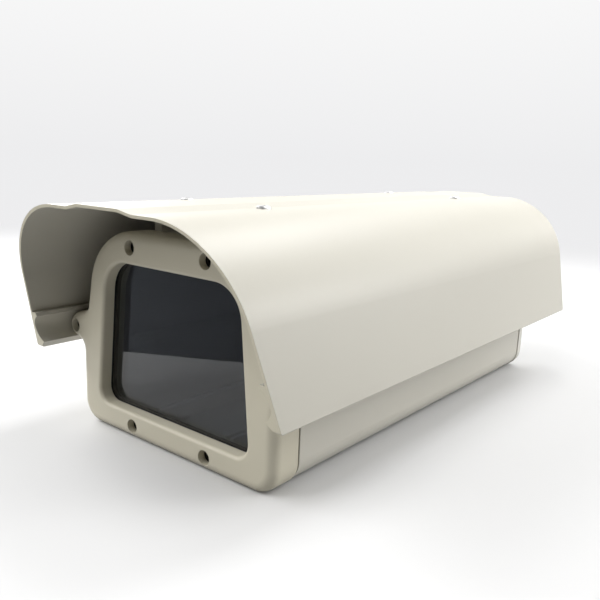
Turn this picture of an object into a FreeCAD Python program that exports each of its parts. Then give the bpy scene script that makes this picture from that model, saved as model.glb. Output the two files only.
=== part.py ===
import FreeCAD, Part
import math
import os
import Sketcher

# Security camera housing with a sunshield. Millimetres, +Z up, the window faces -Y.
# The origin is under the middle of the sunshield, on the surface that the covers stand on.

# Driving dimensions: name, value, what it measures.
DIMENSIONS = [
    ("shield_length", 365.0, "sunshield from the tip of the visor to its rear edge"),
    ("visor_reach", 38.9, "tip of the visor ahead of the bezel's face"),
    ("visor_low_reach", 16.6, "lower front corner of the visor ahead of the bezel's face"),
    ("shield_base", 43.0, "height of the sunshield's lower edge"),
    ("shield_beside", 12.8, "sunshield's outer face beyond the side beads' axes, at its lower edge"),
    ("shield_flare", 0.17, "outward slope of the sunshield's sides"),
    ("shield_radius", 49.0, "corner radius of the sunshield"),
    ("shield_wall", 1.5, "sheet thickness of the sunshield"),
    ("strip_half", 15.0, "half width of the raised strip's flat"),
    ("strip_foot_half", 24.4, "half width of the raised strip at its foot"),
    ("strip_step", 1.8, "rise of the strip above the shoulders"),
    ("hem_radius", 0.8, "rounding under the sunshield's lower edge"),
    ("shield_corner", 2.5, "rounding of the sunshield's lower corners, seen from the side"),
    ("channel_radius", 8.75, "inside radius of the rim channel round the side beads"),
    ("channel_wall", 2.0, "thickness of the rim channel's upper arm"),
    ("channel_lip", 4.1, "start of the rim's lower lip outward of the bead's axis"),
    ("channel_foot", 8.8, "start of the lip's underside outward of the bead's axis"),
    ("channel_arm", 3.4, "end of the rim's upper arm outward of the bead's axis"),

    ("cover_half", 74.4, "half width of the bezel and the rear cover"),
    ("cover_height", 113.6, "height of the bezel and the rear cover"),
    ("lean_start", 44.4, "height where the sides start to lean in"),
    ("side_lean", 0.2, "inward slope of the sides above it"),
    ("base_radius", 13.5, "lower corner radius of the covers"),
    ("roof_radius", 36.0, "upper corner radius of the covers"),
    ("cover_wall", 4.0, "wall of the two cast covers"),
    ("edge_radius", 5.5, "rounding of the covers' outer edges"),
    ("bezel_depth", 17.5, "depth of the bezel"),
    ("bezel_face", 7.4, "thickness of the bezel's front"),
    ("rear_depth", 10.0, "depth of the rear cover"),
    ("rear_plate", 4.0, "thickness of the rear cover's plate"),
    ("cover_step", 0.5, "how far the covers stand proud of the shell"),
    ("shell_length", 265.0, "length of the extruded shell"),
    ("shell_wall", 2.2, "wall of the extruded shell"),
    ("seal_thickness", 1.8, "cover seals, pressed"),
    ("front_seal_inset", 1.6, "outer edge of the front seal inside the covers' outline"),
    ("rear_seal_inset", 0.6, "outer edge of the rear seal inside the covers' outline"),
    ("seal_width", 2.8, "width of the seals"),

    ("screw_half", 28.5, "upper and lower cover screws from the middle"),
    ("roof_screw_height", 105.7, "height of the upper cover screws"),
    ("base_screw_height", 7.2, "height of the lower cover screws"),
    ("ear_half", 80.0, "side screws from the middle"),
    ("ear_height", 54.9, "height of the side screws"),
    ("ear_radius", 7.5, "radius of the covers' ears"),
    ("ear_flare", 0.28, "slope of the ears' flanks towards the side"),
    ("ear_blend", 6.0, "blend between an ear and the side"),
    ("bead_radius", 6.5, "radius of the shell's side beads"),
    ("bead_web", 9.0, "height of the web that carries a bead"),

    ("screw_radius", 2.0, "cover and shield screws, thread"),
    ("thread_gap", 0.03, "radial gap between a thread and its hole"),
    ("screw_gap", 0.25, "radial gap between a screw and a clearance hole"),
    ("head_radius", 3.5, "cover screw heads"),
    ("head_height", 4.0, "cover screw heads"),
    ("socket_flats", 3.0, "hexagon sockets across flats"),
    ("socket_depth", 2.0, "depth of the hexagon sockets"),
    ("counterbore_gap", 0.5, "radial gap round a cover screw's head"),
    ("bezel_counterbore", 7.8, "depth of the bezel's counterbores"),
    ("rear_counterbore", 4.5, "depth of the rear cover's counterbores"),
    ("bezel_screw_length", 25.0, "bezel screws under the head"),
    ("rear_screw_length", 16.0, "rear cover screws under the head"),
    ("boss_radius", 5.0, "bosses round the cover screws"),

    ("port_slot", 2.6, "slot along a screw port"),
    ("port_outer_wall", 2.1, "screw port's wall on the outer side"),
    ("port_inner_wall", 3.2, "screw port's wall on the inner side"),
    ("port_reach", 5.6, "free edge of a screw port beyond the screw's axis"),
    ("rail_width", 5.8, "rails on the roof that carry the sunshield"),
    ("rail_height", 14.1, "height of those rails above the roof"),

    ("window_base", 14.7, "height of the window's lower edge"),
    ("window_height", 82.0, "height of the window"),
    ("window_side_base", 16.3, "bezel's face beside the window, at the window's lower edge"),
    ("window_side_top", 13.8, "bezel's face beside the window, at the window's upper edge"),
    ("window_base_radius", 8.0, "lower corners of the window"),
    ("window_top_radius", 18.0, "upper corners of the window"),
    ("window_edge", 2.0, "rounding of the window's front edge"),
    ("glass_overlap", 2.0, "how far the pane reaches behind the bezel"),
    ("glass_thickness", 4.0, "thickness of the pane"),
    ("gasket_thickness", 0.5, "gasket between the bezel and the pane"),
    ("glass_gap", 0.4, "gap round the pane"),
    ("seat_wall", 1.4, "rim that locates the pane"),
    ("seat_height", 3.0, "height of that rim"),
    ("frame_thickness", 1.5, "retaining frame behind the pane"),
    ("frame_boss_radius", 3.4, "bosses for the retaining frame's screws"),
    ("frame_boss_low", 28.4, "height of the lower frame screws"),
    ("frame_boss_high", 72.4, "height of the upper frame screws"),
    ("frame_screw_radius", 1.5, "retaining frame screws, thread"),
    ("frame_screw_length", 6.0, "retaining frame screws under the head"),
    ("frame_head_radius", 2.8, "retaining frame screw heads"),
    ("frame_head_height", 2.0, "retaining frame screw heads"),

    ("shield_screw_front", 40.0, "front sunshield screws behind the bezel's face"),
    ("shield_screw_pitch", 211.0, "front to rear sunshield screws"),
    ("shield_screw_length", 10.0, "sunshield screws under the head"),
    ("dome_radius", 3.8, "domed screw heads"),
    ("dome_height", 1.6, "domed screw heads"),
    ("dome_socket_flats", 2.5, "sockets in the domed heads across flats"),
    ("dome_socket_depth", 0.9, "sockets in the domed heads"),

    ("bracket_middle", 0.0, "middle of the bracket holes along the housing"),
    ("bracket_pitch_x", 30.0, "bracket holes across the housing"),
    ("bracket_pitch_y", 60.0, "bracket holes along the housing"),
    ("bracket_bore", 2.5, "bore of the bracket nuts' thread"),
    ("nut_collar_radius", 4.0, "collar of a bracket nut in the floor"),
    ("nut_body_radius", 5.5, "body of a bracket nut"),
    ("nut_body_height", 6.0, "height of a bracket nut above the floor"),
    ("press_gap", 0.03, "radial gap round a pressed collar"),

    ("tray_gap", 0.3, "gap between the tray and the floor ribs it rides on"),
    ("tray_thickness", 2.0, "thickness of the camera tray"),
    ("tray_length", 150.0, "length of the camera tray"),
    ("tray_rear_gap", 13.0, "rear edge of the tray ahead of the shell's rear end"),
    ("tray_skirt", 8.0, "height of the tray's folded sides"),
    ("tray_lip", 8.0, "height of the tray's folded rear edge"),
    ("tray_slot_half", 3.4, "half width of the slot for the camera screw"),
    ("tray_slot_start", 10.0, "that slot's end behind the tray's front edge"),
    ("tray_slot_length", 80.0, "length of that slot"),
    ("lock_slot_half", 2.8, "half width of the slot for the lock screw"),
    ("lock_slot_length", 42.0, "length of that slot"),

    ("stud_radius", 3.1, "camera screw, thread"),
    ("stud_reach", 5.5, "camera screw above the tray"),
    ("stud_place", 45.0, "camera screw behind the tray's front edge"),
    ("stud_head_radius", 8.0, "camera screw's head"),
    ("stud_head_height", 6.0, "camera screw's head"),
    ("washer_radius", 9.0, "washer under the tray"),
    ("washer_thickness", 1.2, "washer under the tray"),

    ("lock_place", 121.0, "lock screw behind the tray's front edge"),
    ("lock_radius", 2.5, "lock screw, thread"),
    ("lock_gap", 0.05, "radial gap of the lock screw in its nut"),
    ("lock_nut_radius", 5.5, "lock nut on the floor"),
    ("lock_nut_height", 8.5, "height of the lock nut above the floor"),
    ("knob_radius", 9.0, "knob of the lock screw"),
    ("knob_height", 12.0, "height of the knob"),
    ("knob_flute_radius", 2.0, "finger grooves round the knob"),
    ("knob_edge", 1.2, "rounding of the knob's top"),

    ("gland_half", 24.0, "cable glands from the middle"),
    ("gland_height", 36.4, "height of the cable glands"),
    ("gland_thread", 10.0, "gland thread through the rear cover"),
    ("gland_thread_length", 10.0, "thread behind the gland's hexagon"),
    ("gland_hole_gap", 0.2, "radial gap round the gland's thread"),
    ("gland_hex_flats", 24.0, "gland and lock nut across flats"),
    ("gland_hex_depth", 5.0, "thickness of the gland's hexagon"),
    ("gland_washer_thickness", 1.0, "washer under the gland"),
    ("gland_nut_depth", 4.5, "thickness of the lock nut"),
    ("gland_stem", 8.0, "radius of the gland's rear stem"),
    ("gland_stem_length", 7.5, "length of that stem"),
    ("gland_bore", 5.5, "bore through the gland"),
    ("cap_flats", 20.0, "gland cap across flats"),
    ("cap_length", 12.0, "length of the gland cap"),
    ("cap_gap", 0.5, "cap clear of the gland's hexagon"),
    ("cap_lip", 3.0, "thickness of the cap's end"),
    ("cap_mouth", 4.2, "radius of the cap's mouth"),
    ("cap_edge", 2.5, "rounding of the cap's end"),
    ("cable_radius", 3.0, "bore of the rubber insert"),
]

HEX = 1 / math.sqrt(3)      # corner radius of a hexagon over its width across flats


class Size:
    """A length that carries its value and the expression it is bound with."""

    def __init__(self, value, text):
        self.value = value
        self.text = text

    def __add__(self, other):
        other = as_size(other)
        return Size(self.value + other.value, f"({self.text} + {other.text})")

    def __sub__(self, other):
        other = as_size(other)
        return Size(self.value - other.value, f"({self.text} - {other.text})")

    def __rsub__(self, other):
        return as_size(other) - self

    def __mul__(self, other):
        other = as_size(other)
        return Size(self.value * other.value, f"({self.text} * {other.text})")

    def __truediv__(self, other):
        other = as_size(other)
        return Size(self.value / other.value, f"({self.text} / {other.text})")

    def __neg__(self):
        return Size(-self.value, f"(0 - {self.text})")

    def root(self):
        return Size(math.sqrt(self.value), f"sqrt({self.text})")


def as_size(number):
    """Wrap a plain number, so that it can stand in a formula of sizes."""
    if isinstance(number, Size):
        return number
    return Size(float(number), f"({float(number)})")


class Sheet:
    """The spreadsheet: each of its cells is read as an attribute that gives a Size."""

    def __init__(self, document):
        self.cells = document.addObject("Spreadsheet::Sheet", "dims")
        for row, (name, value, note) in enumerate(DIMENSIONS, 1):
            self.cells.set(f"A{row}", name)
            self.cells.set(f"B{row}", str(value))
            self.cells.setAlias(f"B{row}", name)
            self.cells.set(f"C{row}", note)
        document.recompute()

    def __getattr__(self, name):
        return Size(float(self.cells.get(name)), f"dims.{name}")


doc = FreeCAD.newDocument("CameraHousing")
d = Sheet(doc)


# Sketches

def sketch_on(body, name, plane, level):
    """An empty sketch parallel to an origin plane, at a level along that plane's axis."""
    sketch = body.newObject("Sketcher::SketchObject", name)
    support = [item for item in body.Origin.OriginFeatures if item.Role == plane][0]
    sketch.AttachmentSupport = [(support, "")]
    sketch.MapMode = "FlatFace"
    # the XZ plane looks along -Y, the other two look along their positive axes
    offset = -level if plane == "XZ_Plane" else level
    sketch.setExpression("AttachmentOffset.Base.z", offset.text)
    return sketch


def place_point(sketch, geometry, position, x, y):
    """Bind a point of the sketch to its two coordinates."""
    for kind, coordinate, axis in (("DistanceX", x, -2), ("DistanceY", y, -1)):
        if isinstance(coordinate, Size):
            constraint = Sketcher.Constraint(kind, -1, 1, geometry, position, coordinate.value)
            index = sketch.addConstraint(constraint)
            sketch.setExpression(f"Constraints[{index}]", coordinate.text)
        else:
            sketch.addConstraint(Sketcher.Constraint("PointOnObject", geometry, position, axis))


def draw_circle(sketch, x, y, radius):
    centre = FreeCAD.Vector(as_size(x).value, as_size(y).value, 0)
    circle = sketch.addGeometry(Part.Circle(centre, FreeCAD.Vector(0, 0, 1), radius.value), False)
    place_point(sketch, circle, 3, x, y)
    index = sketch.addConstraint(Sketcher.Constraint("Radius", circle, radius.value))
    sketch.setExpression(f"Constraints[{index}]", radius.text)


def corner_reach(point, before, after, radius):
    """Where a rounding leaves the two sides of a corner, its centre, and if it turns left."""
    to_before = (before - point).normalize()
    to_after = (after - point).normalize()
    half = to_before.getAngle(to_after) / 2
    reach = radius / math.tan(half)
    centre = point + (to_before + to_after).normalize() * (radius / math.sin(half))
    left = (to_before.y * to_after.x - to_before.x * to_after.y) > 0
    return point + to_before * reach, point + to_after * reach, centre, left


def draw_outline(sketch, corners):
    """A closed outline through corners (x, y, radius), where no radius leaves a sharp corner."""
    points = [FreeCAD.Vector(as_size(x).value, as_size(y).value, 0) for x, y, radius in corners]
    count = len(corners)
    turns = []
    for i, (x, y, radius) in enumerate(corners):
        if radius is None:
            turns.append((points[i], points[i], None, None))
        else:
            turns.append(corner_reach(points[i], points[i - 1], points[(i + 1) % count], radius.value))
    lines = []
    for i in range(count):
        line = Part.LineSegment(turns[i][1], turns[(i + 1) % count][0])
        lines.append(sketch.addGeometry(line, False))
    for i, (x, y, radius) in enumerate(corners):
        start, end, centre, left = turns[i]
        line_in = lines[i - 1]
        line_out = lines[i]
        if radius is None:
            sketch.addConstraint(Sketcher.Constraint("Coincident", line_in, 2, line_out, 1))
            place_point(sketch, line_out, 1, x, y)
            continue
        first, last = (start, end) if left else (end, start)
        angles = [math.atan2(p.y - centre.y, p.x - centre.x) for p in (first, last)]
        circle = Part.Circle(centre, FreeCAD.Vector(0, 0, 1), radius.value)
        arc = sketch.addGeometry(Part.ArcOfCircle(circle, angles[0], angles[1]), False)
        point = sketch.addGeometry(Part.Point(points[i]), True)
        at_in, at_out = (1, 2) if left else (2, 1)
        sketch.addConstraint([
            Sketcher.Constraint("Tangent", line_in, 2, arc, at_in),
            Sketcher.Constraint("Tangent", arc, at_out, line_out, 1),
            Sketcher.Constraint("PointOnObject", point, 1, line_in),
            Sketcher.Constraint("PointOnObject", point, 1, line_out),
        ])
        index = sketch.addConstraint(Sketcher.Constraint("Radius", arc, radius.value))
        sketch.setExpression(f"Constraints[{index}]", radius.text)
        place_point(sketch, point, 1, x, y)


def draw_box(sketch, x_low, x_high, y_low, y_high):
    draw_outline(sketch, [(x_low, y_low, None), (x_high, y_low, None),
                          (x_high, y_high, None), (x_low, y_high, None)])


def draw_hexagon(sketch, x, y, flats):
    """A hexagon with two flats that face up and down."""
    corner = flats * HEX
    rows = [(1, 0), (0.5, 0.5), (-0.5, 0.5), (-1, 0), (-0.5, -0.5), (0.5, -0.5)]
    draw_outline(sketch, [(as_size(x) + corner * across, as_size(y) + flats * up, None)
                          for across, up in rows])


# Features

def new_body(label):
    body = doc.addObject("PartDesign::Body", label)
    body.Label = label
    body.AllowCompound = True
    return body


def pad(body, sketch, length, backwards=False):
    feature = body.newObject("PartDesign::Pad", sketch.Name + "_pad")
    feature.Profile = sketch
    feature.setExpression("Length", length.text)
    feature.Reversed = backwards
    sketch.Visibility = False
    return feature


def pocket(body, sketch, length=None, backwards=False, both=False):
    """Cut by a length, or through everything where there is none."""
    feature = body.newObject("PartDesign::Pocket", sketch.Name + "_pocket")
    feature.Profile = sketch
    if length is None:
        feature.Type = "ThroughAll"
    else:
        feature.setExpression("Length", length.text)
    if both:
        feature.SideType = "Symmetric"
    feature.Reversed = backwards
    sketch.Visibility = False
    return feature


def fillet(body, name, radius, wanted):
    """Round the edges of the body's tip for which wanted(edge) is true."""
    doc.recompute()
    base = body.Tip
    names = [f"Edge{i}" for i, edge in enumerate(base.Shape.Edges, 1) if wanted(edge)]
    feature = body.newObject("PartDesign::Fillet", name)
    feature.Base = (base, names)
    feature.setExpression("Radius", radius.text)
    return feature


def pad_y(body, name, start, length, draw):
    """Grow towards +Y from a level, with the sketch drawn by a function."""
    sketch = sketch_on(body, name, "XZ_Plane", start)
    draw(sketch)
    return pad(body, sketch, length, backwards=True)


def cut_y(body, name, start, draw, length=None):
    """Cut towards +Y from a level."""
    sketch = sketch_on(body, name, "XZ_Plane", start)
    draw(sketch)
    return pocket(body, sketch, length)


def pad_z(body, name, start, length, draw):
    """Grow upwards from a level."""
    sketch = sketch_on(body, name, "XY_Plane", start)
    draw(sketch)
    return pad(body, sketch, length)


def cut_z(body, name, start, draw, length=None):
    """Cut upwards from a level."""
    sketch = sketch_on(body, name, "XY_Plane", start)
    draw(sketch)
    return pocket(body, sketch, length, backwards=True)


def mirrored(x):
    """The places of a pair, left and right of the middle."""
    return [-x, x]


def circles(places, radius):
    """A drawing function for equal circles."""
    def draw(sketch):
        for x, y in places:
            draw_circle(sketch, x, y, radius)
    return draw


def hexagons(places, flats):
    """A drawing function for equal hexagons."""
    def draw(sketch):
        for x, y in places:
            draw_hexagon(sketch, x, y, flats)
    return draw


def on_plane(edge, axis, level):
    """True where an edge lies in the plane at a level along an axis."""
    low = getattr(edge.BoundBox, axis + "Min")
    high = getattr(edge.BoundBox, axis + "Max")
    return abs(low - level.value) < 0.001 and abs(high - level.value) < 0.001


def runs_along_y(edge, length):
    """True for a straight edge of a given length along Y."""
    return abs(edge.BoundBox.YLength - length.value) < 0.001 and edge.BoundBox.XLength < 0.001


# Levels along the housing, from front to rear.
front_face = d.visor_reach - d.shield_length / 2
seat_face = front_face + d.bezel_face
bezel_back = front_face + d.bezel_depth
shell_front = bezel_back + d.seal_thickness
shell_back = shell_front + d.shell_length
rear_front = shell_back + d.seal_thickness
rear_back = rear_front + d.rear_depth
shield_back = d.shield_length / 2

# Levels above the ground.
shell_base = d.cover_step
floor_top = shell_base + d.shell_wall
shell_roof = d.cover_height - d.cover_step
shield_under = shell_roof + d.rail_height
shield_shoulder = shield_under + d.shield_wall
shield_half_base = d.ear_half + d.shield_beside
rib_top = d.base_screw_height + d.port_reach
tray_under = rib_top + d.tray_gap
tray_top = tray_under + d.tray_thickness
knob_under = tray_top + d.tray_gap
knob_grip = d.knob_height * 0.6

# The tray and its screws along the housing.
tray_end = shell_back - d.tray_rear_gap
tray_start = tray_end - d.tray_length
stud_y = tray_start + d.stud_place
lock_y = tray_start + d.lock_place

# Places of the cover screws, across and up.
port_places = [(x, z) for z in (d.base_screw_height, d.roof_screw_height) for x in mirrored(d.screw_half)]
ear_places = [(x, d.ear_height) for x in mirrored(d.ear_half)]
cover_screw_places = port_places + ear_places

# Places of the sunshield's screws and of the bracket nuts, across and along.
shield_screw_y = front_face + d.shield_screw_front
shield_screw_places = [(x, y) for y in (shield_screw_y, shield_screw_y + d.shield_screw_pitch)
                       for x in mirrored(d.screw_half)]
bracket_places = [(x, d.bracket_middle + y) for y in mirrored(d.bracket_pitch_y / 2)
                  for x in mirrored(d.bracket_pitch_x / 2)]


def cover_outline(inset):
    """The housing's section, moved inwards by an inset."""
    slant = (d.side_lean * d.side_lean + 1).root()
    side = d.cover_half - inset
    kink = d.lean_start - inset * (slant - 1) / d.side_lean
    top = d.cover_height - inset
    top_side = d.cover_half - d.side_lean * (top - d.lean_start) - inset * slant
    low = d.base_radius - inset
    high = d.roof_radius - inset
    base = inset if inset.value else 0

    def draw(sketch):
        draw_outline(sketch, [(-side, base, low), (side, base, low), (side, kink, None),
                              (top_side, top, high), (-top_side, top, high), (-side, kink, None)])
    return draw


def side_at(height):
    """Half width of the covers at a height above the place where their sides start to lean."""
    return d.cover_half - d.side_lean * (height - d.lean_start)


# The window's sides follow the covers' sides.
window_top = d.window_base + d.window_height
window_half_base = d.cover_half - d.window_side_base
window_half_top = side_at(window_top) - d.window_side_top
window_slope = (window_half_base - window_half_top) / d.window_height


def window_outline(outset):
    """The window's outline, moved outwards by an outset."""
    grow = outset * (window_slope * window_slope + 1).root()
    low = d.window_base - outset
    high = window_top + outset
    half_low = window_half_base + window_slope * outset + grow
    half_high = window_half_top - window_slope * outset + grow
    low_radius = d.window_base_radius + outset
    high_radius = d.window_top_radius + outset

    def draw(sketch):
        draw_outline(sketch, [(-half_low, low, low_radius), (half_low, low, low_radius),
                              (half_high, high, high_radius), (-half_high, high, high_radius)])
    return draw


def glass_side_at(height):
    """Half width of the pane at a height."""
    return window_half_base - window_slope * (height - d.window_base) + d.glass_overlap


def frame_screw_places():
    """The retaining frame's screws, beside the pane."""
    out = d.glass_gap + d.frame_boss_radius + 0.1
    places = []
    for height in (d.frame_boss_low, d.frame_boss_high):
        for x in mirrored(glass_side_at(height) + out):
            places.append((x, height))
    return places


# The two covers

def ear_webs(sketch):
    """The flared webs between the ears and the sides, blended into the sides."""
    slant = (d.ear_flare * d.ear_flare + 1).root()
    tip = d.ear_half + d.ear_radius * d.ear_flare / slant
    rise = d.ear_radius / slant
    root = d.cover_half - d.cover_wall * 3
    low = d.ear_height - rise - d.ear_flare * (tip - d.cover_half)
    # the upper flank meets the leaning side
    reach = tip - side_at(d.ear_height + rise)
    high = d.ear_height + rise + d.ear_flare * reach / (1 - d.ear_flare * d.side_lean)
    past = d.ear_blend * 1.5
    for sign in (1, -1):
        draw_outline(sketch, [
            (root * sign, low - past, None),
            (d.cover_half * sign, low - past, None),
            (d.cover_half * sign, low, d.ear_blend),
            (tip * sign, d.ear_height - rise, None),
            (tip * sign, d.ear_height + rise, None),
            (side_at(high) * sign, high, d.ear_blend),
            (side_at(high + past) * sign, high + past, None),
            (root * sign, high + past, None)])


def cover_block(body, start, depth, ear_start, outer_level):
    """The outer form of a cover: its section, its ears and its rounded outer edge."""
    pad_y(body, body.Label + "_section", start, depth, cover_outline(as_size(0)))
    pad_y(body, body.Label + "_webs", start, depth, ear_webs)
    pad_y(body, body.Label + "_ears", ear_start, depth + d.seal_thickness, circles(ear_places, d.ear_radius))
    fillet(body, body.Label + "_edge", d.edge_radius, lambda edge: on_plane(edge, "Y", outer_level))


def front_bezel():
    body = new_body("front_bezel")
    cover_block(body, front_face, d.bezel_depth, front_face, front_face)
    inner = d.bezel_depth - d.bezel_face
    cut_y(body, "bezel_hollow", seat_face, cover_outline(d.cover_wall), inner)
    pad_y(body, "bezel_bosses", seat_face - 1, inner + 1, circles(port_places, d.boss_radius))
    seat_rise = d.gasket_thickness + d.glass_thickness
    pad_y(body, "frame_bosses", seat_face - 1, seat_rise + 1, circles(frame_screw_places(), d.frame_boss_radius))
    pad_y(body, "seat_rim", seat_face - 1, d.seat_height + 1, window_outline(d.glass_overlap + d.glass_gap + d.seat_wall))
    cut_y(body, "glass_seat", seat_face, window_outline(d.glass_overlap + d.glass_gap), inner)
    cut_y(body, "window", front_face, window_outline(as_size(0)))
    cut_y(body, "bezel_counterbores", front_face, circles(cover_screw_places, d.head_radius + d.counterbore_gap),
          d.bezel_counterbore)
    cut_y(body, "bezel_screw_holes", front_face, circles(cover_screw_places, d.screw_radius + d.screw_gap))
    hole_start = seat_face - 3
    cut_y(body, "frame_screw_holes", hole_start, circles(frame_screw_places(), d.frame_screw_radius + d.thread_gap))

    def on_window(edge):
        box = edge.BoundBox
        inside = max(abs(box.XMin), abs(box.XMax)) < window_half_base.value + 1
        tall = box.ZMin > d.window_base.value - 1 and box.ZMax < window_top.value + 1
        return on_plane(edge, "Y", front_face) and inside and tall

    fillet(body, "window_edge_round", d.window_edge, on_window)
    return body


def rear_cover():
    body = new_body("rear_cover")
    cover_block(body, rear_front, d.rear_depth, shell_back, rear_back)
    inner = d.rear_depth - d.rear_plate
    cut_y(body, "rear_hollow", rear_front, cover_outline(d.cover_wall), inner)
    pad_y(body, "rear_bosses", rear_front, inner + 1, circles(port_places, d.boss_radius))
    counterbore = circles(cover_screw_places, d.head_radius + d.counterbore_gap)
    cut_y(body, "rear_counterbores", rear_back - d.rear_counterbore, counterbore)
    cut_y(body, "rear_screw_holes", shell_back, circles(cover_screw_places, d.screw_radius + d.screw_gap))
    cut_y(body, "gland_holes", rear_front, circles(gland_places(), d.gland_thread + d.gland_hole_gap))
    return body


def cover_seal(label, start, inset):
    """A flat rubber ring between a cover and the shell."""
    body = new_body(label)
    pad_y(body, label + "_ring", start, d.seal_thickness, cover_outline(inset))
    cut_y(body, label + "_hollow", start, cover_outline(inset + d.seal_width))
    return body


def cover_screws(label, head_start, length, outwards):
    """Socket head screws of one cover, with the shank on the side away from outwards."""
    body = new_body(label)
    pad_y(body, label + "_heads", head_start, d.head_height, circles(cover_screw_places, d.head_radius))
    shank_start = head_start + d.head_height if outwards < 0 else head_start - length
    pad_y(body, label + "_shanks", shank_start, length, circles(cover_screw_places, d.screw_radius))
    socket_start = head_start if outwards < 0 else head_start + d.head_height - d.socket_depth
    cut_y(body, label + "_sockets", socket_start, hexagons(cover_screw_places, d.socket_flats), d.socket_depth)
    return body


# The extruded shell

def shell_ports(sketch):
    """Ribs that carry the screw ports on the floor and under the roof."""
    inner = d.screw_half - d.port_slot / 2 - d.port_inner_wall
    outer = d.screw_half + d.port_slot / 2 + d.port_outer_wall
    roof_edge = d.roof_screw_height - d.port_reach
    for low, high in ((inner, outer), (-outer, -inner)):
        draw_box(sketch, low, high, floor_top - d.shell_wall / 2, rib_top)
        draw_box(sketch, low, high, roof_edge, shell_roof - d.shell_wall / 2)


def port_slots(sketch):
    """Slots that open the screw ports into the housing."""
    half = d.port_slot / 2
    for x in mirrored(d.screw_half):
        draw_box(sketch, x - half, x + half, d.base_screw_height, rib_top + 1)
        draw_box(sketch, x - half, x + half, d.roof_screw_height - d.port_reach - 1, d.roof_screw_height)


def roof_rails(sketch):
    """Rails on the roof that the sunshield is screwed to."""
    half = d.rail_width / 2
    for x in mirrored(d.screw_half):
        draw_box(sketch, x - half, x + half, shell_roof - d.shell_wall, shield_under)


def bead_webs(sketch):
    """Webs that carry the side beads."""
    half = d.bead_web / 2
    root = side_at(d.ear_height) - d.cover_step - d.shell_wall
    for low, high in ((root, d.ear_half), (-d.ear_half, -root)):
        draw_box(sketch, low, high, d.ear_height - half, d.ear_height + half)


def housing_shell():
    body = new_body("housing_shell")
    pad_y(body, "shell_section", shell_front, d.shell_length, cover_outline(d.cover_step))
    pad_y(body, "shell_rails", shell_front, d.shell_length, roof_rails)
    pad_y(body, "shell_webs", shell_front, d.shell_length, bead_webs)
    pad_y(body, "shell_beads", shell_front, d.shell_length, circles(ear_places, d.bead_radius))
    cut_y(body, "shell_hollow", shell_front, cover_outline(d.cover_step + d.shell_wall))
    pad_y(body, "shell_ports", shell_front, d.shell_length, shell_ports)
    cut_y(body, "port_slots", shell_front, port_slots)
    cut_y(body, "port_holes", shell_front, circles(cover_screw_places, d.screw_radius + d.thread_gap))
    cut_z(body, "rail_holes", shield_shoulder - d.shield_screw_length - 1,
          circles(shield_screw_places, d.screw_radius + d.thread_gap))
    floor_holes = bracket_places + [(0, lock_y)]
    cut_z(body, "floor_holes", shell_base, circles(floor_holes, d.nut_collar_radius + d.press_gap), d.shell_wall)
    return body


# The window

def window_glass():
    body = new_body("window_glass")
    pad_y(body, "pane", seat_face + d.gasket_thickness, d.glass_thickness, window_outline(d.glass_overlap))
    return body


def window_gasket():
    body = new_body("window_gasket")
    pad_y(body, "gasket_ring", seat_face, d.gasket_thickness, window_outline(d.glass_overlap))
    cut_y(body, "gasket_hollow", seat_face, window_outline(as_size(0)))
    return body


def frame_tabs(sketch):
    """Tabs of the retaining frame, out to its screws."""
    half = d.frame_boss_radius
    for x, height in frame_screw_places():
        sign = 1 if x.value > 0 else -1
        root = (glass_side_at(height) - d.glass_overlap) * sign
        ends = (root, x) if sign > 0 else (x, root)
        draw_box(sketch, ends[0], ends[1], height - half, height + half)


def glass_frame():
    body = new_body("glass_frame")
    start = seat_face + d.gasket_thickness + d.glass_thickness
    pad_y(body, "frame_plate", start, d.frame_thickness, window_outline(d.glass_overlap))
    pad_y(body, "frame_tabs", start, d.frame_thickness, frame_tabs)
    pad_y(body, "frame_tab_ends", start, d.frame_thickness, circles(frame_screw_places(), d.frame_boss_radius))
    cut_y(body, "frame_opening", start, window_outline(as_size(0)))
    cut_y(body, "frame_holes", start, circles(frame_screw_places(), d.frame_screw_radius + d.screw_gap))
    return body


def glass_frame_screws():
    body = new_body("glass_frame_screws")
    head_start = seat_face + d.gasket_thickness + d.glass_thickness + d.frame_thickness
    places = frame_screw_places()
    pad_y(body, "frame_screw_heads", head_start, d.frame_head_height, circles(places, d.frame_head_radius))
    pad_y(body, "frame_screw_shanks", head_start - d.frame_screw_length, d.frame_screw_length,
          circles(places, d.frame_screw_radius))
    fillet(body, "frame_screw_domes", d.frame_head_height * 0.6,
           lambda edge: on_plane(edge, "Y", head_start + d.frame_head_height))
    return body


# The sunshield

def shield_side(height):
    """Half width of the sunshield's outer face at a height."""
    return shield_half_base - d.shield_flare * (height - d.shield_base)


def shield_section(inset, low):
    """The sunshield's section, moved inwards by an inset and drawn down to a low level."""
    slant = (d.shield_flare * d.shield_flare + 1).root()
    shoulder = shield_shoulder - inset
    strip = shoulder + d.strip_step
    side_low = shield_side(low) - inset * slant
    side_high = shield_side(shoulder) - inset * slant
    radius = d.shield_radius - inset

    def draw(sketch):
        draw_outline(sketch, [(-side_low, low, None), (side_low, low, None), (side_high, shoulder, radius),
                              (d.strip_foot_half, shoulder, None), (d.strip_half, strip, None),
                              (-d.strip_half, strip, None), (-d.strip_foot_half, shoulder, None),
                              (-side_high, shoulder, radius)])
    return draw


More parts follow.
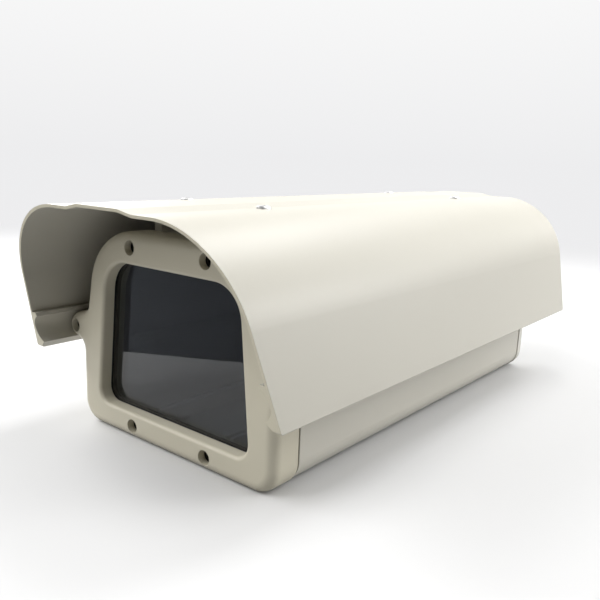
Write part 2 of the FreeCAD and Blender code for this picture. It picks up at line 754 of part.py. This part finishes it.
def rim_blocks(sketch):
    """The thick lower rims, before the channel is cut into them."""
    slant = (d.shield_flare * d.shield_flare + 1).root()
    lip = d.ear_half + d.channel_lip
    foot = d.ear_half + d.channel_foot
    arm = d.ear_half + d.channel_arm
    outer = d.channel_radius + d.channel_wall
    arm_rise = (outer * outer - (d.channel_arm + 0.8) * (d.channel_arm + 0.8)).root()
    root_height = d.ear_height + arm_rise
    wall_in = shield_side(root_height) - d.shield_wall * slant
    middle = d.shield_wall * slant / 2
    for sign in (1, -1):
        draw_outline(sketch, [
            (foot * sign, d.shield_base, None),
            ((shield_side(d.shield_base) - middle) * sign, d.shield_base, None),
            ((shield_side(root_height) - middle) * sign, root_height, None),
            (wall_in * sign, root_height, None),
            ((arm + 0.8) * sign, d.ear_height + arm_rise, None),
            (arm * sign, d.ear_height + d.channel_radius * 0.85, None),
            (lip * sign, d.ear_height - d.channel_radius * 0.85, None)])


def shield_profile(sketch):
    """All that lies outside the sunshield's side view: the raked visor and its rounded corners."""
    past = 30
    tip = -shield_back
    low_front = front_face - d.visor_low_reach
    rise = shield_shoulder + d.strip_step - d.shield_base
    rake = (tip - low_front) / rise
    above = shield_shoulder + d.strip_step + 10
    high_front = tip + rake * 10
    draw_box(sketch, tip - past, shield_back + past, d.shield_base - past, above + past)
    draw_outline(sketch, [(low_front, d.shield_base, d.shield_corner), (shield_back, d.shield_base, d.shield_corner),
                          (shield_back, above, None), (high_front, above, None)])


def sunshield():
    body = new_body("sunshield")
    pad_y(body, "shield_block", -shield_back, d.shield_length, shield_section(as_size(0), d.shield_base))
    cut_y(body, "shield_hollow", -shield_back, shield_section(d.shield_wall, d.shield_base - 5))
    pad_y(body, "shield_rims", -shield_back, d.shield_length, rim_blocks)
    cut_y(body, "rim_channels", -shield_back, circles(ear_places, d.channel_radius))
    edge_x = shield_half_base.value

    def at_hem(edge):
        middle = edge.BoundBox.Center
        low = abs(middle.z - d.shield_base.value) < 0.01
        return runs_along_y(edge, d.shield_length) and low and abs(abs(middle.x) - edge_x) < 0.01

    fillet(body, "hem_round", d.hem_radius, at_hem)
    side_view = sketch_on(body, "shield_profile", "YZ_Plane", as_size(0))
    shield_profile(side_view)
    pocket(body, side_view, both=True)
    cut_z(body, "shield_screw_holes", shield_under - 1, circles(shield_screw_places, d.screw_radius + d.screw_gap))
    return body


def shield_screws():
    body = new_body("shield_screws")
    top = shield_shoulder + d.dome_height
    pad_z(body, "dome_heads", shield_shoulder, d.dome_height, circles(shield_screw_places, d.dome_radius))
    pad_z(body, "dome_shanks", shield_shoulder - d.shield_screw_length, d.shield_screw_length,
          circles(shield_screw_places, d.screw_radius))
    fillet(body, "dome_round", d.dome_height * 0.85, lambda edge: on_plane(edge, "Z", top))
    cut_z(body, "dome_sockets", top - d.dome_socket_depth, hexagons(shield_screw_places, d.dome_socket_flats))
    return body


# Bracket nuts in the floor

def bracket_nuts():
    body = new_body("bracket_nuts")
    pad_z(body, "nut_collars", shell_base, d.shell_wall, circles(bracket_places, d.nut_collar_radius))
    pad_z(body, "nut_bodies", floor_top, d.nut_body_height, circles(bracket_places, d.nut_body_radius))
    cut_z(body, "nut_bores", shell_base, circles(bracket_places, d.bracket_bore))
    return body


# The camera tray

def slot_outline(start, length, half):
    """A round-ended slot on the middle line."""
    radius = half * 0.98

    def draw(sketch):
        draw_outline(sketch, [(-half, start, radius), (half, start, radius),
                              (half, start + length, radius), (-half, start + length, radius)])
    return draw


def camera_tray():
    """A folded channel that straddles the two floor ribs."""
    body = new_body("camera_tray")
    inner = d.screw_half + d.port_slot / 2 + d.port_outer_wall + d.tray_gap
    half = inner + d.tray_thickness

    def plate(sketch):
        draw_box(sketch, -half, half, tray_start, tray_end)

    def skirts(sketch):
        draw_box(sketch, inner, half, tray_start, tray_end)
        draw_box(sketch, -half, -inner, tray_start, tray_end)

    def lip(sketch):
        draw_box(sketch, -half, half, tray_end - d.tray_thickness, tray_end)

    camera_slot = slot_outline(tray_start + d.tray_slot_start, d.tray_slot_length, d.tray_slot_half)
    lock_slot = slot_outline(lock_y - d.lock_slot_length / 2, d.lock_slot_length, d.lock_slot_half)
    pad_z(body, "tray_plate", tray_under, d.tray_thickness, plate)
    pad_z(body, "tray_skirts", tray_top - d.tray_skirt, d.tray_skirt, skirts)
    pad_z(body, "tray_lip", tray_under, d.tray_thickness + d.tray_lip, lip)
    cut_z(body, "camera_slot", tray_under, camera_slot)
    cut_z(body, "lock_slot", tray_under, lock_slot)
    return body


def camera_screw():
    body = new_body("camera_screw")
    washer_under = tray_under - d.washer_thickness
    head_under = washer_under - d.stud_head_height
    reach = d.washer_thickness + d.tray_thickness + d.stud_reach
    pad_z(body, "stud_head", head_under, d.stud_head_height, circles([(0, stud_y)], d.stud_head_radius))
    pad_z(body, "stud_shank", washer_under, reach, circles([(0, stud_y)], d.stud_radius))
    return body


def camera_screw_washer():
    body = new_body("camera_screw_washer")
    start = tray_under - d.washer_thickness
    pad_z(body, "washer_disc", start, d.washer_thickness, circles([(0, stud_y)], d.washer_radius))
    cut_z(body, "washer_hole", start, circles([(0, stud_y)], d.stud_radius + d.screw_gap))
    return body


def tray_lock_nut():
    """A nut pressed into the floor, which the lock screw turns in."""
    body = new_body("tray_lock_nut")
    place = [(0, lock_y)]
    pad_z(body, "lock_nut_collar", shell_base, d.shell_wall, circles(place, d.nut_collar_radius))
    pad_z(body, "lock_nut_body", floor_top, d.lock_nut_height, circles(place, d.lock_nut_radius))
    cut_z(body, "lock_nut_bore", shell_base, circles(place, d.lock_radius + d.lock_gap))
    return body


def tray_lock_screw():
    body = new_body("tray_lock_screw")
    pad_z(body, "lock_shank", floor_top, knob_under + knob_grip - floor_top, circles([(0, lock_y)], d.lock_radius))
    return body


def tray_lock_knob():
    body = new_body("tray_lock_knob")
    top = knob_under + d.knob_height
    flutes = []
    for i in range(8):
        turn = 2 * math.pi * i / 8
        flutes.append((d.knob_radius * math.cos(turn), lock_y + d.knob_radius * math.sin(turn)))
    pad_z(body, "knob_body", knob_under, d.knob_height, circles([(0, lock_y)], d.knob_radius))
    cut_z(body, "knob_flutes", knob_under, circles(flutes, d.knob_flute_radius))
    fillet(body, "knob_round", d.knob_edge, lambda edge: on_plane(edge, "Z", top))
    cut_z(body, "knob_bore", knob_under, circles([(0, lock_y)], d.lock_radius + d.press_gap), knob_grip)
    return body


# Cable glands in the rear cover

def gland_places():
    return [(x, d.gland_height) for x in mirrored(d.gland_half)]


gland_hex_start = rear_back + d.gland_washer_thickness
gland_hex_end = gland_hex_start + d.gland_hex_depth
gland_stem_end = gland_hex_end + d.gland_stem_length
cap_start = gland_hex_end + d.cap_gap
cap_end = cap_start + d.cap_length


def gland_bodies():
    body = new_body("gland_bodies")
    start = gland_hex_start - d.gland_thread_length
    pad_y(body, "gland_threads", start, d.gland_thread_length, circles(gland_places(), d.gland_thread))
    pad_y(body, "gland_hexagons", gland_hex_start, d.gland_hex_depth, hexagons(gland_places(), d.gland_hex_flats))
    pad_y(body, "gland_stems", gland_hex_end, d.gland_stem_length, circles(gland_places(), d.gland_stem))
    cut_y(body, "gland_bores", start, circles(gland_places(), d.gland_bore))
    return body


def gland_washers():
    body = new_body("gland_washers")
    pad_y(body, "gland_washer_discs", rear_back, d.gland_washer_thickness,
          circles(gland_places(), d.gland_hex_flats / 2))
    cut_y(body, "gland_washer_holes", rear_back, circles(gland_places(), d.gland_thread + d.gland_hole_gap))
    return body


def gland_locknuts():
    body = new_body("gland_locknuts")
    start = rear_back - d.rear_plate - d.gland_nut_depth
    pad_y(body, "locknut_bodies", start, d.gland_nut_depth, hexagons(gland_places(), d.gland_hex_flats))
    cut_y(body, "locknut_threads", start, circles(gland_places(), d.gland_thread + d.thread_gap))
    return body


def gland_caps():
    body = new_body("gland_caps")
    pad_y(body, "cap_bodies", cap_start, d.cap_length, hexagons(gland_places(), d.cap_flats))
    fillet(body, "cap_round", d.cap_edge, lambda edge: on_plane(edge, "Y", cap_end))
    inside = d.cap_length - d.cap_lip
    cut_y(body, "cap_threads", cap_start, circles(gland_places(), d.gland_stem + d.thread_gap), inside)
    cut_y(body, "cap_mouths", cap_start, circles(gland_places(), d.cap_mouth))
    return body


def gland_inserts():
    """Rubber inserts: a sleeve inside the stem with a flange under the cap's end."""
    body = new_body("gland_inserts")
    start = gland_hex_start
    pad_y(body, "insert_sleeves", start, gland_stem_end - start, circles(gland_places(), d.gland_bore - d.thread_gap))
    pad_y(body, "insert_flanges", gland_stem_end, cap_end - d.cap_lip - gland_stem_end,
          circles(gland_places(), d.gland_stem - d.cap_gap))
    cut_y(body, "insert_bores", start, circles(gland_places(), d.cable_radius))
    return body


def build():
    """Make every sub-part and return the list of them."""
    bezel_heads = front_face + d.bezel_counterbore - d.head_height
    rear_heads = rear_back - d.rear_counterbore
    return [
        front_bezel(),
        window_gasket(),
        window_glass(),
        glass_frame(),
        glass_frame_screws(),
        cover_seal("front_seal", bezel_back, d.front_seal_inset),
        cover_screws("bezel_screws", bezel_heads, d.bezel_screw_length, -1),
        housing_shell(),
        bracket_nuts(),
        cover_seal("rear_seal", shell_back, d.rear_seal_inset),
        rear_cover(),
        cover_screws("rear_screws", rear_heads, d.rear_screw_length, 1),
        gland_bodies(),
        gland_washers(),
        gland_locknuts(),
        gland_inserts(),
        gland_caps(),
        sunshield(),
        shield_screws(),
        camera_tray(),
        camera_screw(),
        camera_screw_washer(),
        tray_lock_nut(),
        tray_lock_screw(),
        tray_lock_knob(),
    ]


def check(parts):
    """Stop where an object failed or a sub-part has no valid shape."""
    for item in doc.Objects:
        if "Invalid" in item.State or "Error" in item.State:
            raise RuntimeError(f"{item.Name} failed: {item.State}")
    for item in parts:
        if item.Shape.isNull() or not item.Shape.isValid():
            raise RuntimeError(f"{item.Label} has no valid shape")


def main():
    parts = build()
    doc.recompute()
    check(parts)
    os.makedirs("parts", exist_ok=True)
    for item in parts:
        item.Shape.exportStep(f"parts/{item.Label}.step")
        box = item.Shape.BoundBox
        print(f"{item.Label}: {len(item.Shape.Solids)} solids, {item.Shape.Volume:.0f} mm3, "
              f"x {box.XMin:.1f} to {box.XMax:.1f}, y {box.YMin:.1f} to {box.YMax:.1f}, "
              f"z {box.ZMin:.1f} to {box.ZMax:.1f}")


main()
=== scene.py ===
import math

import bpy
from mathutils import Matrix, Vector


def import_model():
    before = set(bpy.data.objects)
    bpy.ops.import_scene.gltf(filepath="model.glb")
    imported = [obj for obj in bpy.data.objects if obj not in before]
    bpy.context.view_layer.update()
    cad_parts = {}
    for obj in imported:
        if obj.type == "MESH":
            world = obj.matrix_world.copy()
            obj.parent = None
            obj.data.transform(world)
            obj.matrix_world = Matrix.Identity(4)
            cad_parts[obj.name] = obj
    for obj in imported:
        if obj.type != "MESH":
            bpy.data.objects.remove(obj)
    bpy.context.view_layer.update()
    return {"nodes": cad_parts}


# Camera housing: looks, light and camera. Metres, in the same frame as the CAD. Colours are linear.

# Camera of the photograph: angles in degrees, lens and sensor in millimetres.
CAMERA_PLACE = (0.25773, -0.35706, 0.15506)
CAMERA_AZIMUTH = 38.787
CAMERA_ELEVATION = 12.016
CAMERA_ROLL = 2.103
CAMERA_LENS = 40.41
CAMERA_SENSOR = 36.0
CAMERA_NEAREST = 0.01

# Noise: its level of detail, and the values below and above which it gives its two tones.
BROAD_DETAIL = 3.0
FINE_DETAIL = 2.0
DARK_BELOW = 0.3
LIGHT_ABOVE = 0.7

# Quality of the rounded edges.
BEVEL_SAMPLES = 4

# Powder coat: name, colour, rounding of its sharp edges, and, where given, a lighter colour on its cut
# faces, which is painted light for how the lamps fall on them.
POWDER_COATS = [
    ("cover_powder_coat", (0.67, 0.628, 0.5), 0.0005, None),
    ("rear_cover_powder_coat", (0.76, 0.74, 0.67), 0.0005, None),
    ("shell_powder_coat", (0.645, 0.621, 0.545), 0.0004, None),
    # The sunshield's cut ends get a lighter colour than its coat: painted light.
    ("shield_powder_coat", (0.53, 0.51, 0.443), 0.0004, (0.72, 0.675, 0.53)),
]
COAT_ROUGHNESS = 0.42
COAT_SHADES = (0.985, 1.015)
COAT_SHADE_SCALE = 9.0
PEEL_SCALE = 1400.0
PEEL_DEPTH = 0.00002
# Where the painted light on cut faces starts and where it is full, by how far the normal looks along
# the housing.
CUT_LIGHT_START = 0.6
CUT_LIGHT_FULL = 0.8

# Metal: name, colour and roughness. Its marks vary both.
METALS = [
    ("screw_steel", (0.55, 0.54, 0.52), 0.28),
    # Near-black steel for the bezel and rear screws; their dark heads also darken the deep screw holes
    # they sit in.
    ("blackened_steel", (0.025, 0.024, 0.022), 0.3),
    ("head_zinc", (0.66, 0.66, 0.65), 0.35),
    ("tray_aluminium", (0.6, 0.6, 0.59), 0.4),
    ("nut_brass", (0.62, 0.45, 0.18), 0.3),
]
MARK_SCALE = 900.0
MARK_SHADES = (0.9, 1.0)
MARK_ROUGHNESS = (0.8, 1.3)
METAL_EDGE = 0.0002

# Rubber, plastic and black paint: name, colour, roughness and depth of the grain.
GRAINED = [
    ("black_rubber", (0.02, 0.02, 0.02), 0.6, 0.00002),
    ("grey_rubber", (0.6, 0.58, 0.52), 0.6, 0.00002),
    ("frame_black_paint", (0.02, 0.02, 0.02), 0.5, 0.00002),
    ("knob_black_plastic", (0.025, 0.025, 0.025), 0.45, 0.00003),
    ("gland_plastic", (0.47, 0.45, 0.4), 0.5, 0.00002),
]
GRAIN_SCALE = 2500.0
GRAIN_SHADES = (0.92, 1.06)
GRAIN_SHADE_SCALE = 60.0
GRAIN_EDGE = 0.0003

# Glass: name, tint, and the tint of the lamps' light that passes through it. The dark tint is partly
# the glass's smoke and partly painted shade for the dim inside of the housing.
GLASSES = [
    ("window_glass_clear", (0.25, 0.27, 0.3), (0.3, 0.32, 0.35)),
]
GLASS_IOR = 1.5

# The material of each CAD node.
FINISHES = {
    "front_bezel": "cover_powder_coat",
    "rear_cover": "rear_cover_powder_coat",
    "housing_shell": "shell_powder_coat",
    "sunshield": "shield_powder_coat",
    "window_glass": "window_glass_clear",
    "window_gasket": "black_rubber",
    "front_seal": "black_rubber",
    "rear_seal": "grey_rubber",
    "gland_washers": "black_rubber",
    "gland_inserts": "black_rubber",
    "glass_frame": "frame_black_paint",
    "glass_frame_screws": "screw_steel",
    "bezel_screws": "blackened_steel",
    "rear_screws": "blackened_steel",
    "shield_screws": "head_zinc",
    "bracket_nuts": "screw_steel",
    "camera_screw": "screw_steel",
    "camera_screw_washer": "screw_steel",
    "tray_lock_screw": "screw_steel",
    "camera_tray": "tray_aluminium",
    "tray_lock_nut": "nut_brass",
    "tray_lock_knob": "knob_black_plastic",
    "gland_bodies": "gland_plastic",
    "gland_locknuts": "gland_plastic",
    "gland_caps": "gland_plastic",
}

# Floor: half its width, its colour as it shows and as it lights the object, and where it fades out.
FLOOR_REACH = 12.0
FLOOR_SHOWN = (0.68, 0.68, 0.68)
FLOOR_BOUNCE = (0.36, 0.36, 0.36)
FADE_START = 0.35
FADE_END = 1.1

# Background: its colour at the horizon and higher up, and the sine of the elevation of the second.
BACKGROUND = (0.85, 0.85, 0.86)
BACKGROUND_HIGH = (0.94, 0.94, 0.94)
BACKGROUND_RISE = 0.22

# Dark card that the window mirrors: the ends of its foot, its height and its two tones.
CARD_LEFT = (-0.736, 0.08, 0.0)
CARD_RIGHT = (0.6, -0.638, 0.0)
CARD_HEIGHT = 1.2
CARD_DARK = (0.02, 0.02, 0.03)
CARD_LIGHT = (0.13, 0.13, 0.15)
CARD_SHADE_SCALE = 4.0

# Softboxes round the object: name, azimuth from the front, elevation, width in metres, watts.
LAMPS = [
    ("left", -75, 35, 0.8, 16.4),
    ("rear_high", 180, 58, 0.8, 12.7),
    ("front_left", -35, 30, 0.8, 8.6),
    ("right_high", 100, 50, 0.8, 8.1),
    ("rear_right_low", 130, 12, 0.5, 7.8),
    ("rear_left_low", 255, 22, 0.8, 6.1),
    ("front_high", 0, 58, 0.8, 4.7),
    ("rear_right", 150, 30, 0.8, 3.8),
]
LAMP_DISTANCE = 1.4
LAMP_TARGET = (0.0, 0.0, 0.06)


# Node helpers

def add_node(tree, kind, **values):
    node = tree.nodes.new(kind)
    for name, value in values.items():
        setattr(node, name, value)
    return node


def new_material(name):
    material = bpy.data.materials.new(name)
    material.use_nodes = True
    material.node_tree.nodes.clear()
    return material, material.node_tree


def principled(tree, roughness, metallic=0.0):
    shader = add_node(tree, "ShaderNodeBsdfPrincipled")
    shader.inputs["Roughness"].default_value = roughness
    shader.inputs["Metallic"].default_value = metallic
    return shader


def output(tree, shader):
    target = add_node(tree, "ShaderNodeOutputMaterial")
    tree.links.new(shader, target.inputs["Surface"])


def mixed(tree, factor, first, second):
    """A mix of two shaders: the first at factor 0, the second at factor 1."""
    mix = add_node(tree, "ShaderNodeMixShader")
    tree.links.new(factor, mix.inputs["Fac"])
    tree.links.new(first, mix.inputs[1])
    tree.links.new(second, mix.inputs[2])
    return mix.outputs["Shader"]


def coordinate(tree, kind):
    """A texture coordinate, such as the part's own (Object) or its own normal (Normal)."""
    return add_node(tree, "ShaderNodeTexCoord").outputs[kind]


def component(tree, vector, axis):
    parts = add_node(tree, "ShaderNodeSeparateXYZ")
    tree.links.new(vector, parts.inputs["Vector"])
    return parts.outputs[axis]


def remapped(tree, value, limits, **options):
    """A value carried to another range. Each limit is named as its socket is."""
    node = add_node(tree, "ShaderNodeMapRange", **options)
    for name, limit in limits.items():
        node.inputs[name].default_value = limit
    tree.links.new(value, node.inputs["Value"])
    return node.outputs["Result"]


def noise(tree, scale, detail=BROAD_DETAIL):
    """Noise in the part's own coordinates. The scale is in ripples per metre."""
    texture = add_node(tree, "ShaderNodeTexNoise")
    texture.inputs["Scale"].default_value = scale
    texture.inputs["Detail"].default_value = detail
    tree.links.new(coordinate(tree, "Object"), texture.inputs["Vector"])
    return texture.outputs["Fac"]


def tone(tree, factor, dark, light, start=DARK_BELOW, end=LIGHT_ABOVE):
    """A colour that goes from one tone to another as the factor goes from start to end."""
    ramp = add_node(tree, "ShaderNodeValToRGB")
    stops = ramp.color_ramp.elements
    stops[0].position = start
    stops[0].color = (*dark, 1)
    stops[1].position = end
    stops[1].color = (*light, 1)
    tree.links.new(factor, ramp.inputs["Fac"])
    return ramp.outputs["Color"]


def shaded(tree, scale, color, shades):
    """A colour that noise varies between two shades of it."""
    dark, light = (scaled(color, shade) for shade in shades)
    return tone(tree, noise(tree, scale), dark, light)


def scaled(color, factor):
    return tuple(min(1.0, channel * factor) for channel in color)


def rounded_normal(tree, radius):
    """Normals that round the sharp edges a little."""
    bevel = add_node(tree, "ShaderNodeBevel", samples=BEVEL_SAMPLES)
    bevel.inputs["Radius"].default_value = radius
    return bevel.outputs["Normal"]


def rippled(tree, scale, depth, edge):
    """Normals with fine noise of a depth in metres, on rounded edges."""
    node = add_node(tree, "ShaderNodeBump")
    node.inputs["Strength"].default_value = 1.0
    node.inputs["Distance"].default_value = depth
    tree.links.new(noise(tree, scale, FINE_DETAIL), node.inputs["Height"])
    tree.links.new(rounded_normal(tree, edge), node.inputs["Normal"])
    return node.outputs["Normal"]


def with_painted_light_on_cut_faces(tree, color, cut_light_tone):
    """Painted light: the lighter cut colour on the faces that look along the housing, the other colour
    elsewhere.
    """
    along = add_node(tree, "ShaderNodeMath", operation="ABSOLUTE")
    tree.links.new(component(tree, coordinate(tree, "Normal"), "Y"), along.inputs[0])
    limits = {"From Min": CUT_LIGHT_START, "From Max": CUT_LIGHT_FULL}
    mix = add_node(tree, "ShaderNodeMixRGB")
    mix.inputs["Color2"].default_value = (*cut_light_tone, 1)
    tree.links.new(remapped(tree, along.outputs["Value"], limits), mix.inputs["Fac"])
    tree.links.new(color, mix.inputs["Color1"])
    return mix.outputs["Color"]


# Materials

def powder_coat(name, color, edge, cut_light_tone):
    """Satin powder coat with a fine orange peel, with painted light on its cut faces where a cut tone
    is given.
    """
    material, tree = new_material(name)
    shader = principled(tree, COAT_ROUGHNESS)
    shade = shaded(tree, COAT_SHADE_SCALE, color, COAT_SHADES)
    if cut_light_tone is not None:
        shade = with_painted_light_on_cut_faces(tree, shade, cut_light_tone)
    tree.links.new(shade, shader.inputs["Base Color"])
    tree.links.new(rippled(tree, PEEL_SCALE, PEEL_DEPTH, edge), shader.inputs["Normal"])
    output(tree, shader.outputs["BSDF"])
    return material


def metal(name, color, roughness):
    """Plain metal with fine marks in its colour and gloss."""
    material, tree = new_material(name)
    shader = principled(tree, roughness, metallic=1.0)
    marks = noise(tree, MARK_SCALE)
    dark, light = (scaled(color, shade) for shade in MARK_SHADES)
    tree.links.new(tone(tree, marks, dark, light), shader.inputs["Base Color"])
    smooth, rough = (roughness * factor for factor in MARK_ROUGHNESS)
    gloss = remapped(tree, marks, {"To Min": smooth, "To Max": rough})
    tree.links.new(gloss, shader.inputs["Roughness"])
    tree.links.new(rounded_normal(tree, METAL_EDGE), shader.inputs["Normal"])
    output(tree, shader.outputs["BSDF"])
    return material


def grained(name, color, roughness, depth):
    """Rubber, plastic or paint with a fine grain."""
    material, tree = new_material(name)
    shader = principled(tree, roughness)
    shade = shaded(tree, GRAIN_SHADE_SCALE, color, GRAIN_SHADES)
    tree.links.new(shade, shader.inputs["Base Color"])
    tree.links.new(rippled(tree, GRAIN_SCALE, depth, GRAIN_EDGE), shader.inputs["Normal"])
    output(tree, shader.outputs["BSDF"])
    return material


def tinted_glass(name, smoke_and_shade_tint, shadow_tint):
    """Smoke-tinted window glass, dark enough to also paint the shade inside the housing, which lets a
    part of the lamps' light through.
    """
    material, tree = new_material(name)
    shader = principled(tree, 0.0)
    shader.inputs["Base Color"].default_value = (*smoke_and_shade_tint, 1)
    shader.inputs["Transmission Weight"].default_value = 1.0
    shader.inputs["IOR"].default_value = GLASS_IOR
    passing = add_node(tree, "ShaderNodeBsdfTransparent")
    passing.inputs["Color"].default_value = (*shadow_tint, 1)
    shadow_ray = add_node(tree, "ShaderNodeLightPath").outputs["Is Shadow Ray"]
    output(tree, mixed(tree, shadow_ray, shader.outputs["BSDF"], passing.outputs["BSDF"]))
    return material


def make_materials():
    """Every material, by its name in the tables."""
    makers = ((powder_coat, POWDER_COATS), (metal, METALS), (grained, GRAINED), (tinted_glass, GLASSES))
    return {row[0]: make(*row) for make, table in makers for row in table}


def dress(nodes):
    """Give each CAD node its finish."""
    materials = make_materials()
    for name, finish in FINISHES.items():
        slots = nodes[name].data.materials
        slots.clear()
        slots.append(materials[finish])


# Stage, light and camera

def seen(tree):
    """1 for the rays that see the background: those of the camera, of gloss and of glass."""
    path = add_node(tree, "ShaderNodeLightPath")
    total = path.outputs["Is Camera Ray"]
    for other in ("Is Glossy Ray", "Is Transmission Ray"):
        either = add_node(tree, "ShaderNodeMath", operation="MAXIMUM")
        tree.links.new(total, either.inputs[0])
        tree.links.new(path.outputs[other], either.inputs[1])
        total = either.outputs["Value"]
    return total


def add_object(name, data):
    made = bpy.data.objects.new(name, data)
    bpy.context.scene.collection.objects.link(made)
    return made


def sheet_object(name, corners, material):
    mesh = bpy.data.meshes.new(name)
    mesh.from_pydata(corners, [], [tuple(range(len(corners)))])
    mesh.materials.append(material)
    sheet = add_object(name, mesh)
    return sheet


def floor_material():
    """A white floor that fades into the pale background far from the object."""
    material, tree = new_material("floor_white")
    visible = seen(tree)
    near = add_node(tree, "ShaderNodeBsdfDiffuse")
    tree.links.new(tone(tree, visible, FLOOR_BOUNCE, FLOOR_SHOWN), near.inputs["Color"])
    far = add_node(tree, "ShaderNodeEmission")
    far.inputs["Color"].default_value = (*BACKGROUND, 1)
    tree.links.new(visible, far.inputs["Strength"])
    distance = add_node(tree, "ShaderNodeVectorMath", operation="LENGTH")
    tree.links.new(coordinate(tree, "Object"), distance.inputs[0])
    limits = {"From Min": FADE_START, "From Max": FADE_END}
    fade = remapped(tree, distance.outputs["Value"], limits, interpolation_type="SMOOTHSTEP")
    output(tree, mixed(tree, fade, near.outputs["BSDF"], far.outputs["Emission"]))
    return material


def make_floor():
    corners = [(x * FLOOR_REACH, y * FLOOR_REACH, 0) for x, y in ((-1, -1), (1, -1), (1, 1), (-1, 1))]
    sheet_object("floor", corners, floor_material())


def make_dark_card():
    """The dark room in front of the object, which only the gloss of the window shows."""
    material, tree = new_material("dark_room")
    glow = add_node(tree, "ShaderNodeEmission")
    shade = tone(tree, noise(tree, CARD_SHADE_SCALE), CARD_DARK, CARD_LIGHT)
    tree.links.new(shade, glow.inputs["Color"])
    output(tree, glow.outputs["Emission"])
    left = Vector(CARD_LEFT)
    right = Vector(CARD_RIGHT)
    rise = Vector((0, 0, CARD_HEIGHT))
    card = sheet_object("dark_card", [left, right, right + rise, left + rise], material)
    card.visible_camera = False
    card.visible_diffuse = False
    card.visible_transmission = False
    card.visible_shadow = False


def make_world():
    """A pale background that lights nothing."""
    world = bpy.data.worlds.new("studio")
    bpy.context.scene.world = world
    world.use_nodes = True
    tree = world.node_tree
    tree.nodes.clear()
    backdrop = add_node(tree, "ShaderNodeBackground")
    height = component(tree, coordinate(tree, "Generated"), "Z")
    shade = tone(tree, height, BACKGROUND, BACKGROUND_HIGH, start=0.0, end=BACKGROUND_RISE)
    tree.links.new(shade, backdrop.inputs["Color"])
    tree.links.new(seen(tree), backdrop.inputs["Strength"])
    target = add_node(tree, "ShaderNodeOutputWorld")
    tree.links.new(backdrop.outputs["Background"], target.inputs["Surface"])


def way_to(azimuth, elevation):
    """The direction away from the object at an azimuth from its front and an elevation, in degrees."""
    turn = math.radians(azimuth)
    rise = math.radians(elevation)
    return Vector((math.cos(rise) * math.sin(turn), -math.cos(rise) * math.cos(turn), math.sin(rise)))


def softbox(name, azimuth, elevation, width, watts):
    """A square lamp that faces the object."""
    away = way_to(azimuth, elevation)
    data = bpy.data.lights.new(name, "AREA")
    data.shape = "SQUARE"
    data.size = width
    data.energy = watts
    lamp = add_object(name, data)
    lamp.location = Vector(LAMP_TARGET) + away * LAMP_DISTANCE
    lamp.rotation_euler = (-away).to_track_quat("-Z", "Y").to_euler()


def make_camera():
    turn = math.radians(CAMERA_AZIMUTH)
    roll = math.radians(CAMERA_ROLL)
    back = way_to(CAMERA_AZIMUTH, CAMERA_ELEVATION)
    level = Vector((math.cos(turn), math.sin(turn), 0))
    upright = back.cross(level)
    right = level * math.cos(roll) + upright * math.sin(roll)
    up = upright * math.cos(roll) - level * math.sin(roll)
    data = bpy.data.cameras.new("camera")
    data.lens = CAMERA_LENS
    data.sensor_width = CAMERA_SENSOR
    data.clip_start = CAMERA_NEAREST
    camera = add_object("camera", data)
    facing = Matrix((right, up, back)).transposed().to_4x4()
    camera.matrix_world = Matrix.Translation(CAMERA_PLACE) @ facing
    bpy.context.scene.camera = camera


def main():
    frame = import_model()
    dress(frame["nodes"])
    make_world()
    make_floor()
    make_dark_card()
    for lamp in LAMPS:
        softbox(*lamp)
    make_camera()
    bpy.context.scene.view_settings.view_transform = "Standard"


main()
